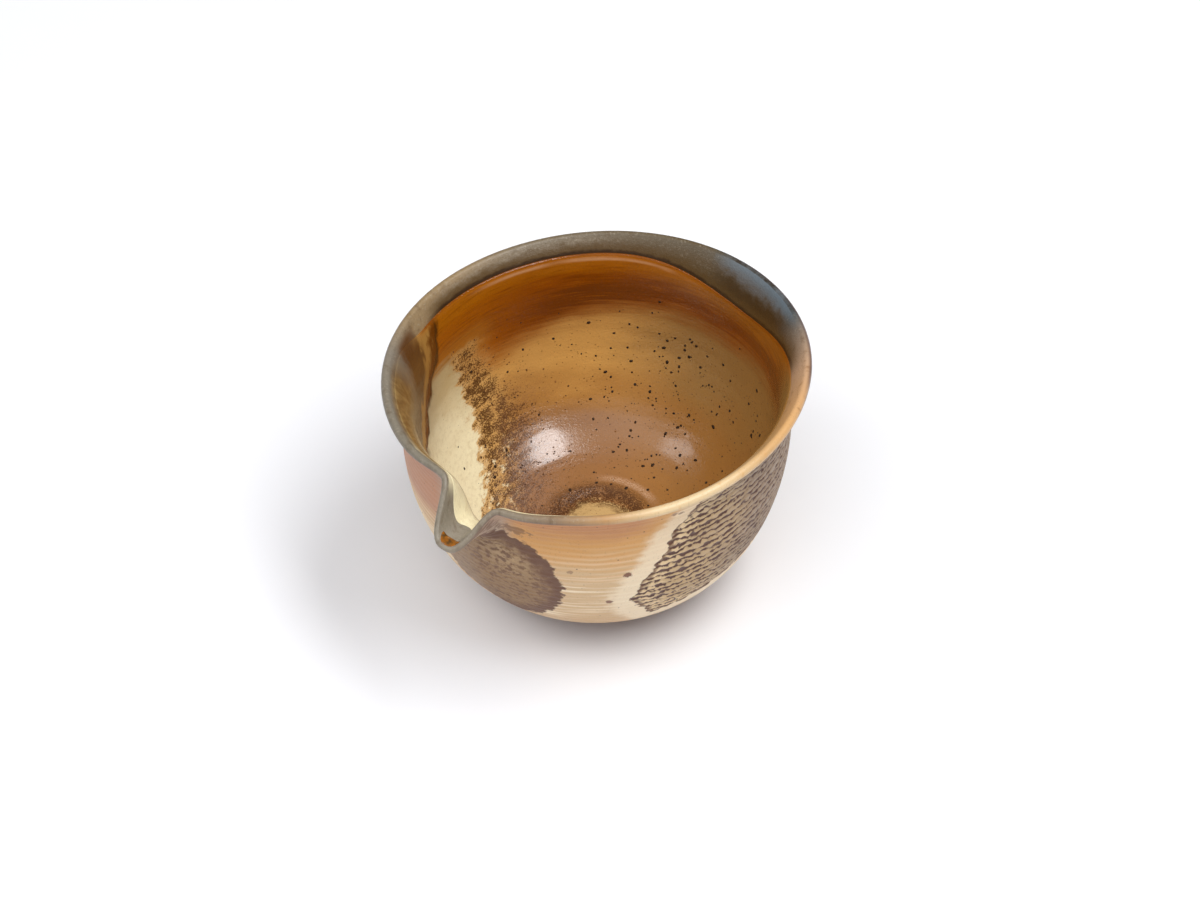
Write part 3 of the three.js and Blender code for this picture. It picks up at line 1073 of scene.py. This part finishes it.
def glaze_grain(place):
    """The noises and patterns that the glaze's coats of colour share."""
    past, crumbs = crumb_zone(place)
    return SimpleNamespace(
        streak=place.noise(20, 1.0, 41, detail=3),
        thin_streak=place.noise(9, 0.45, 49, detail=2),
        cloud=place.noise(20, 9, 42),
        fine=place.noise(0.55, 0.5, 43, detail=2, roughness=0.6),
        grit=place.noise(0.5, 0.45, 50, detail=3, roughness=0.7),
        clumps=place.noise(3.6, 2.4, 45, detail=3, roughness=0.6),
        past=past,
        crumbs=crumbs,
    )


def amber_band(place, grain):
    """How far up the amber band a point is, on which side the band runs, and how strong it is."""
    edge = ramp(place.turn, -95, -170) * 9.0 + 41.0
    rise = place.z - edge + grain.cloud * 2.4 + grain.streak * 1.5
    side = ramp(place.turn, -72, -78) * ramp(place.turn, -240, -222)
    return rise, side, ramp(rise, -5.0, 7.0) * side


def plain_glaze(place, grain, rise, side, amber):
    """Tan glass, brown and rose towards the floor, and amber in bands under the glaze line."""
    rosy = ramp(place.z + grain.cloud * 3.0, 24, 14) * ramp(place.right, 30, -2)
    dark_band = window(rise + grain.streak * 2.0, 5.0, 13.0, 3.0) * ramp(place.turn, -110, -135)
    near_side = (1.0 - side) * ramp(place.over + grain.streak * 2.0, -14.0, -4.0)
    gold = window(place.z + grain.streak * 1.5, 47, 57, 4.0) * window(place.turn, *GOLD_SIDE, 6.0)
    return painted(
        TAN_GLAZE,
        (OLIVE_GLAZE, ramp(place.right + grain.cloud * 6.0, -2, 30)),
        (BROWN_GLAZE, ramp(place.z + grain.cloud * 4.0, 36, 22) * 0.75),
        (ROSE_GLAZE, rosy * 0.8),
        (AMBER_GLAZE, amber),
        (AMBER_LEFT, amber * ramp(place.turn, -128, -92) * 0.8),
        (AMBER_DARK, amber * dark_band * 0.8),
        (AMBER_EDGE, amber * ramp(place.over + grain.streak * 1.5, -7.0, -2.0) * 0.6),
        (AMBER_DARK, amber * ramp(grain.thin_streak, 0.0, 1.0) * 0.5),
        (AMBER_LEFT, amber * ramp(grain.thin_streak + grain.grit * 0.4, -0.2, -1.0) * 0.4),
        (AMBER_DARK, amber * ramp(grain.grit, 0.1, 0.9) * 0.3),
        (OLIVE_GLAZE, near_side * 0.6),
        (GOLD_GLAZE, gold * 0.3),
    )


def cream_share(place, grain):
    """1 where the glaze is cream: left of the crumbs, and all round the spout."""
    top = ramp(place.z + grain.cloud * 1.5 + grain.streak * 1.5, 55.5, 48.5)
    left = ramp(grain.past + grain.fine * 0.6 + grain.clumps, 2.2, -1.2)
    return larger(left * ramp(place.turn, -112, -104) * top, spout_side(place))


def cream_glaze(place, grain):
    """Cream glass, mottled, with painted shade that darkens it higher up and to the left and greys it
    beside the run.
    """
    # Painted shade: darker higher up and to the left, and greyer in a band beside the run
    painted_shade = ramp(place.z + grain.cloud * 6.0, 26, 56) * ramp(place.angle, -40, -70)
    greyed = ramp(place.angle, -84, -66) * ramp(place.angle, -40, -60) * ramp(place.z, 26, 50)
    return painted(
        CREAM_GLAZE,
        (CREAM_MOTTLE_AND_SHADE, painted_shade),
        (CREAM_MOTTLE_AND_SHADE, ramp(place.noise(1.6, 1.3, 55, detail=3), -0.3, 1.2) * 0.3),
        (RUN_AND_SHADE_GREY, greyed * 0.45),
    )


def paint_crumbs(place, colour, grain):
    """Crumbs too fine to be lumps, on gold glass, with holes through to the cream."""
    past, crumbs, clumps = grain.past, grain.crumbs, grain.clumps
    near = ramp(past, 12, 3)
    holes = ramp(place.noise(3.0, 2.4, 53, detail=2), 0.25, 0.8) * ramp(place.z, 24, 17) * near
    strays = ramp(past, -6.0, -0.5) * ramp(past, 1.0, -0.5) * ramp(place.z, 46, 40) * 0.22
    cover = (crumbs + strays) * (clumps * 0.5 + 0.85) - holes * 0.25
    cover = cover - ramp(place.z, 38, 24) * 0.06
    brown = ramp(grain.grit * 1.25 + grain.thin_streak * 0.25 + cover * 1.7 - 1.22, -0.3, 0.45)
    haze = ramp(past, 2, 7) * ramp(past, 26, 12) * ramp(place.z, 40, 26) * ramp(place.angle, -20, -48)
    return painted(
        colour,
        (CRUMB_GOLD, ramp(crumbs, 0.0, 0.5) * near * 0.75),
        (CREAM_GLAZE, holes * ramp(past, -1, 1) * 0.8),
        (CRUMB_BROWN, brown * ramp(cover, 0.0, 0.12) * 0.9),
        (HAZE_BROWN, haze * ramp(grain.fine + clumps * 0.5, -0.9, 0.9) * 0.4),
    )


def paint_well(place, colour, grain):
    """The well in the floor: cream glass, a ring of crumbs round it, and a painted highlight on its far
    edge.
    """
    floor = ramp(place.radius + place.noise(4, 3, 46) * 1.8 + grain.grit * 1.2, 11.0, 9.0)
    ring = window(place.radius + grain.clumps * 1.5, 8.6, 16.5, 2.6)
    # Painted highlight: a pale streak along the well's far edge, standing in for the lamp's reflection
    # there
    edge = window(place.radius + grain.cloud * 0.4, 17.6, 20.0, 0.9)
    edge = edge * window(place.turn, *WELL_HIGHLIGHT_SIDE, 12.0)
    return painted(
        colour,
        (WELL_CREAM, floor * 0.85),
        (CRUMB_BROWN, ring * ramp(grain.grit + grain.clumps * 0.5, -0.5, 0.15) * 0.9),
        (WELL_EDGE_HIGHLIGHT, edge * ramp(grain.grit, -0.6, 0.5) * 0.45),
    )


def liner_glaze():
    """Ash glaze: amber under the rim, tan below, cream towards the spout, and crumbs between."""
    material, tree, shader = new_material("liner_glaze", 0.26)
    place = Place(tree)
    grain = glaze_grain(place)
    rise, side, amber = amber_band(place, grain)
    creamy = cream_share(place, grain)
    colour = plain_glaze(place, grain, rise, side, amber)
    colour = blend(colour, cream_glaze(place, grain), creamy)
    colour = paint_crumbs(place, colour, grain)
    colour = paint_well(place, colour, grain)
    pepper, chance = place.grains(1.35, 1.25, 47)
    dust = ramp(pepper, 0.24, 0.1) * ramp(chance, 0.52, 0.64) * ramp(place.z, 62, 30)
    colour = painted(
        colour,
        (DUST_BROWN, dust * (1.0 - creamy) * 0.75),
        (CLOUD_BROWN, ramp(grain.fine, 0.2, 1.3) * 0.22),
    )
    channel = ramp(absolute(place.angle), 7.5, 5.5) * ramp(place.radius, 63.0, 65.0)
    # Painted highlight: a thin pale line just under the glaze's edge at the back, where its rolled edge
    # catches the light
    edge_highlight = window(place.over + grain.streak * 0.2, -1.9, -1.1, 0.35)
    edge_highlight = edge_highlight * window(place.turn, *EDGE_HIGHLIGHT_SIDE, 10.0)
    colour = painted(
        paint_run(place, colour),
        (CHANNEL_GREY, channel),
        (GLAZE_EDGE_HIGHLIGHT, edge_highlight * ramp(grain.cloud, -0.9, 0.4) * 0.55),
        (AMBER_LINE, ramp(place.over, -0.9, -0.1) * side * 0.6),
    )
    feed(tree, colour, shader.inputs["Base Color"])
    roughness = 0.17 + grain.fine * 0.04 + grain.crumbs * 0.06 - amber * 0.03
    feed(tree, roughness, shader.inputs["Roughness"])
    feed(tree, ramp(place.z, 25, 17) * (0.9 + grain.grit * 0.5), shader.inputs["Coat Weight"])
    shader.inputs["Coat Roughness"].default_value = 0.15
    raise_bumps(tree, shader, grain.fine * 0.9 + place.noise(0.9, 0.8, 48), 0.022)
    return material


def two_toned(name, finish, tones, cell, seed, ends, detail=2.0, strength=1.0):
    """A material of one roughness and gloss, in which one colour lies over another in clouds."""
    material, tree, shader = new_material(name, *finish)
    clouds = ramp(Place(tree).noise(cell, cell, seed, detail=detail), *ends)
    feed(tree, blend(*tones, clouds * strength), shader.inputs["Base Color"])
    return material


def bare_clay():
    """The unglazed foot: toasted clay with sand in it."""
    material, tree, shader = new_material("bare_clay", 0.75)
    place = Place(tree)
    cloud = place.noise(9, 5, 61)
    fine = place.noise(0.5, 0.5, 62, detail=3)
    cloudy = ramp(cloud, -0.5, 0.7)
    colour = painted(FOOT_CREAM, (FOOT_RED, cloudy), (FOOT_SAND, ramp(fine, 0.5, 1.3) * 0.6))
    feed(tree, colour, shader.inputs["Base Color"])
    raise_bumps(tree, shader, fine, 0.06)
    return material


CLAY = flashed_clay()
GLAZE = liner_glaze()
IRON_BLEED = two_toned("iron_bleed", (0.45, 0.25), (IRON, CRUMB_BROWN), 0.6, 51, (-0.2, 0.9), strength=0.5)
BROWN_CRUMB = two_toned("brown_crumb", (0.6, 0.2), (CRUMB_BROWN, CRUMB_TAN), 1.2, 52, (-0.3, 0.8))
FOOT_CLAY = bare_clay()
ASH_GLASS = two_toned("ash_glass", (0.08, 0.7), (ORANGE_GLASS, BROWN_GLASS), 1.4, 54, (-0.5, 0.7), detail=3)

body = wall_relief(thrown_body(), CLAY)
coat = glaze_relief(glaze_coat(), GLAZE)


# Specks and crumbs by Geometry Nodes
def random_size(tree, low, high, seed):
    node = added(tree, "FunctionNodeRandomValue", data_type="FLOAT")
    floats = [s for s in node.inputs if s.type == "VALUE" and s.enabled]
    feed(tree, low, floats[0])
    feed(tree, high, floats[1])
    node.inputs["Seed"].default_value = seed
    return Sum(tree, [s for s in node.outputs if s.enabled][0])


def scatter(name, source, density, sizes, material, seed):
    """Low lumps of iron or ash, scattered where a density says, with their backs in the glaze."""
    tree, geometry, size = new_tree(name, sizes)
    place = Place(tree)
    per_area = density(place) * size["Per square metre"]
    inputs = {"Mesh": geometry, "Density": per_area, "Seed": seed}
    spread = added(tree, "GeometryNodeDistributePointsOnFaces", inputs, distribute_method="RANDOM")
    lump = added(tree, "GeometryNodeMeshIcoSphere", {"Radius": 1.0, "Subdivisions": 1})
    chance = random_size(tree, 0.0, 1.0, seed + 1)
    wide = (size["Least radius"] + (size["Most radius"] - size["Least radius"]) * chance ** 3.0) * MM
    longer = random_size(tree, 0.7, 1.5, seed + 2)
    inputs = {
        "Points": spread.outputs["Points"],
        "Instance": lump.outputs["Mesh"],
        "Rotation": spread.outputs["Rotation"],
        "Scale": place.vector(wide, wide * longer, wide * size["Flatness"]),
    }
    lumps = added(tree, "GeometryNodeInstanceOnPoints", inputs).outputs[0]
    spin = place.vector(0.0, 0.0, random_size(tree, 0.0, 2 * math.pi, seed + 3))
    turned = added(tree, "GeometryNodeRotateInstances", {"Instances": lumps, "Rotation": spin})
    real = added(tree, "GeometryNodeRealizeInstances", (turned.outputs[0],)).outputs[0]
    close_tree(tree, added(tree, "GeometryNodeSetShadeSmooth", (real,)).outputs[0], material)
    return grown(new_piece(name, source.data.copy()), tree, sizes)


def crumb_density(place):
    """Crumbs lie along the cream's edge and in a ring round the well."""
    _, crumbs = crumb_zone(place)
    clumps = ramp(place.noise(3.4, 2.4, 45, detail=3), -0.5, 0.8)
    ring = window(place.radius, 9.5, 14.5, 0.8) * 0.8
    thick = larger(crumbs * clumps, ring)
    return thick * ramp(place.mark("on_face"), 0.4, 0.6) * ramp(place.angle, 30, 10)


def iron_density(place):
    """Iron specks are most common to the right and low down, and in one cluster at the back."""
    right = ramp(place.right, -34, 22) * 0.85 + 0.15
    heights = ramp(place.z, 58, 34)
    clumps = ramp(place.noise(7, 5, 71), -0.7, 0.9) * 0.8 + 0.2
    cluster = bell(place.angle, -166.0, 7.0) * bell(place.z, 24.0, 6.0) * 1.4 + 0.8
    inner = ramp(place.mark("on_face"), 0.4, 0.6) * ramp(place.radius, 12, 16)
    return right * heights * clumps * cluster * inner


crumbs = scatter(
    "brown_crumbs",
    coat,
    crumb_density,
    {"Per square metre": 1.5e6, "Least radius": 0.09, "Most radius": 0.34, "Flatness": 0.35},
    BROWN_CRUMB,
    11,
)
specks = scatter(
    "iron_specks",
    coat,
    iron_density,
    {"Per square metre": 3.2e5, "Least radius": 0.08, "Most radius": 0.56, "Flatness": 0.25},
    IRON_BLEED,
    23,
)


# Foot ring by Geometry Nodes
FOOT_SUNK = 0.6
FOOT_COLUMNS = 181
FOOT_ROWS = 73
FOOT_MERGE = 0.01


def foot_profile():
    """The ring's section as a closed line of radius and height. Its top is sunk in the underside."""
    inner, outer, bevel = FOOT_INNER_RADIUS, FOOT_OUTER_RADIUS, FOOT_BEVEL
    top = FOOT_HEIGHT + FOOT_SUNK
    return [
        (inner, top),
        (inner, bevel),
        (inner + bevel * 0.3, bevel * 0.3),
        (inner + bevel, 0),
        (outer - bevel, 0),
        (outer - bevel * 0.3, bevel * 0.3),
        (outer, bevel),
        (outer, top),
    ]


def turned_foot(material):
    line = foot_profile()
    mesh = bpy.data.meshes.new("foot_line")
    ends = [(i, (i + 1) % len(line)) for i in range(len(line))]
    mesh.from_pydata([(r * MM, 0, z * MM) for r, z in line], ends, [])
    piece = new_piece("turned_foot", mesh)
    sizes = {"Axis": AXIS_X * MM, "Mark spacing": 0.9, "Mark depth": 0.05}
    tree, geometry, size = new_tree("lathe", sizes)
    curve = added(tree, "GeometryNodeMeshToCurve", (geometry,)).outputs[0]
    counts = {"Size X": 1.0, "Size Y": 1.0, "Vertices X": FOOT_COLUMNS, "Vertices Y": FOOT_ROWS}
    grid = added(tree, "GeometryNodeMeshGrid", counts).outputs["Mesh"]
    column, row, _ = split(tree, added(tree, "GeometryNodeInputPosition").outputs[0])
    around = (column + 0.5) * (2 * math.pi)
    inputs = {"Curves": curve, "Factor": row + 0.5}
    sample = added(tree, "GeometryNodeSampleCurve", inputs, data_type="FLOAT")
    radius, _, height = split(tree, sample.outputs["Position"])
    groove = radius.op("SINE", height * (2 * math.pi / MM) / size["Mark spacing"])
    wall = ramp(height, FOOT_BEVEL * MM, FOOT_BEVEL * 2 * MM)
    radius = radius - (groove + 1.0) * size["Mark depth"] * wall * MM
    x = size["Axis"] + radius * radius.op("COSINE", around)
    y = radius * radius.op("SINE", around)
    point = added(tree, "ShaderNodeCombineXYZ", (x, y, height)).outputs[0]
    shape = added(tree, "GeometryNodeSetPosition", {"Geometry": grid, "Position": point}).outputs[0]
    inputs = {"Geometry": shape, "Distance": FOOT_MERGE * MM}
    joined = added(tree, "GeometryNodeMergeByDistance", inputs).outputs[0]
    close_tree(tree, added(tree, "GeometryNodeSetShadeSmooth", (joined,)).outputs[0], material)
    return face_outwards(grown(piece, tree, sizes))


foot = turned_foot(FOOT_CLAY)
pool = ash_pool()
pool.data.materials.append(ASH_GLASS)

for piece in (body, coat, crumbs, specks, foot, pool):
    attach(piece, "root")
    print(piece.name, len(piece.data.polygons), "faces")
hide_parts("bowl", "spout")
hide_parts("glaze_liner")
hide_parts("foot_ring")


# Table, light and camera
TABLE_REACH = 3
TABLE_WHITE = (0.88, 0.885, 0.91, 1)
ROOM_WHITE = (0.97, 0.98, 1, 1)
FRONT_LEFT = Vector((0.68, 0.04, 0.73))
LAMPS_AIM = Vector((0, 0, 0.04))
LONG_LAMP_ROLL = math.radians(39)


def pale_table():
    reach = TABLE_REACH
    mesh = bpy.data.meshes.new("table")
    corners = [(-reach, -reach, 0), (reach, -reach, 0), (reach, reach, 0), (-reach, reach, 0)]
    mesh.from_pydata(corners, [], [(0, 1, 2, 3)])
    material, _, shader = new_material("pale_table", 0.7, 0.2)
    shader.inputs["Base Color"].default_value = TABLE_WHITE
    mesh.materials.append(material)
    new_piece("table", mesh)


def softbox(name, place, size, roll, power):
    light = bpy.data.lights.new(name, "AREA")
    light.shape = "ELLIPSE"
    light.size, light.size_y = size
    light.energy = power
    lamp = bpy.data.objects.new(name, light)
    lamp.location = place
    aim = (LAMPS_AIM - Vector(place)).to_track_quat("-Z", "Y")
    lamp.rotation_euler = (aim @ Quaternion((0, 0, 1), roll)).to_euler()
    bpy.context.scene.collection.objects.link(lamp)


def white_room(low, high, front):
    """Light from overhead and from the front left. The camera sees the room as plain white."""
    world = bpy.data.worlds.new("white_room")
    world.use_nodes = True
    tree = world.node_tree
    background = tree.nodes["Background"]
    background.inputs["Color"].default_value = ROOM_WHITE
    x, y, z = split(tree, added(tree, "ShaderNodeTexCoord").outputs["Generated"])
    path = added(tree, "ShaderNodeLightPath")
    seen = Sum(tree, path.outputs["Is Camera Ray"])
    mirrored = Sum(tree, path.outputs["Is Glossy Ray"])
    ahead = x * FRONT_LEFT.x + y * FRONT_LEFT.y + z * FRONT_LEFT.z
    wall = larger(ahead, 0.0) ** 4.0 * ramp(z, 0.4, 0.75) * front
    light = low + (ramp(z, 0.4, 0.85) * (high - low) + wall) * (1.0 - mirrored * 0.8)
    feed(tree, light + seen * (1.0 - light), background.inputs["Strength"])
    bpy.context.scene.world = world


pale_table()
softbox("softbox_behind", (-0.19, 0.5, 1.12), (1.1, 0.42), LONG_LAMP_ROLL, 10.5)
softbox("softbox_left", (0.52, -0.645, 0.92), (0.42, 0.5), 0.0, 1.4)
white_room(low=0.05, high=0.16, front=3.0)

VIEW_ELEVATION = math.radians(44.37)
VIEW_AZIMUTH = math.radians(35.19)
VIEW_DISTANCE = 0.8
VIEW_TARGET = Vector((0.00091, 0.00522, 0.049))
FOCAL_PIXELS = 2823.7
FRAME_WIDTH = 1200
SENSOR_WIDTH = 36

lens = bpy.data.cameras.new("camera")
lens.sensor_width = SENSOR_WIDTH
lens.lens = FOCAL_PIXELS / FRAME_WIDTH * SENSOR_WIDTH
camera = bpy.data.objects.new("camera", lens)
level = math.cos(VIEW_ELEVATION)
towards = Vector((level * math.cos(VIEW_AZIMUTH), level * math.sin(VIEW_AZIMUTH), math.sin(VIEW_ELEVATION)))
camera.location = VIEW_TARGET + towards * VIEW_DISTANCE
camera.rotation_euler = (-towards).to_track_quat("-Z", "Y").to_euler()
bpy.context.scene.collection.objects.link(camera)
bpy.context.scene.camera = camera
bpy.context.scene.view_settings.view_transform = "Standard"
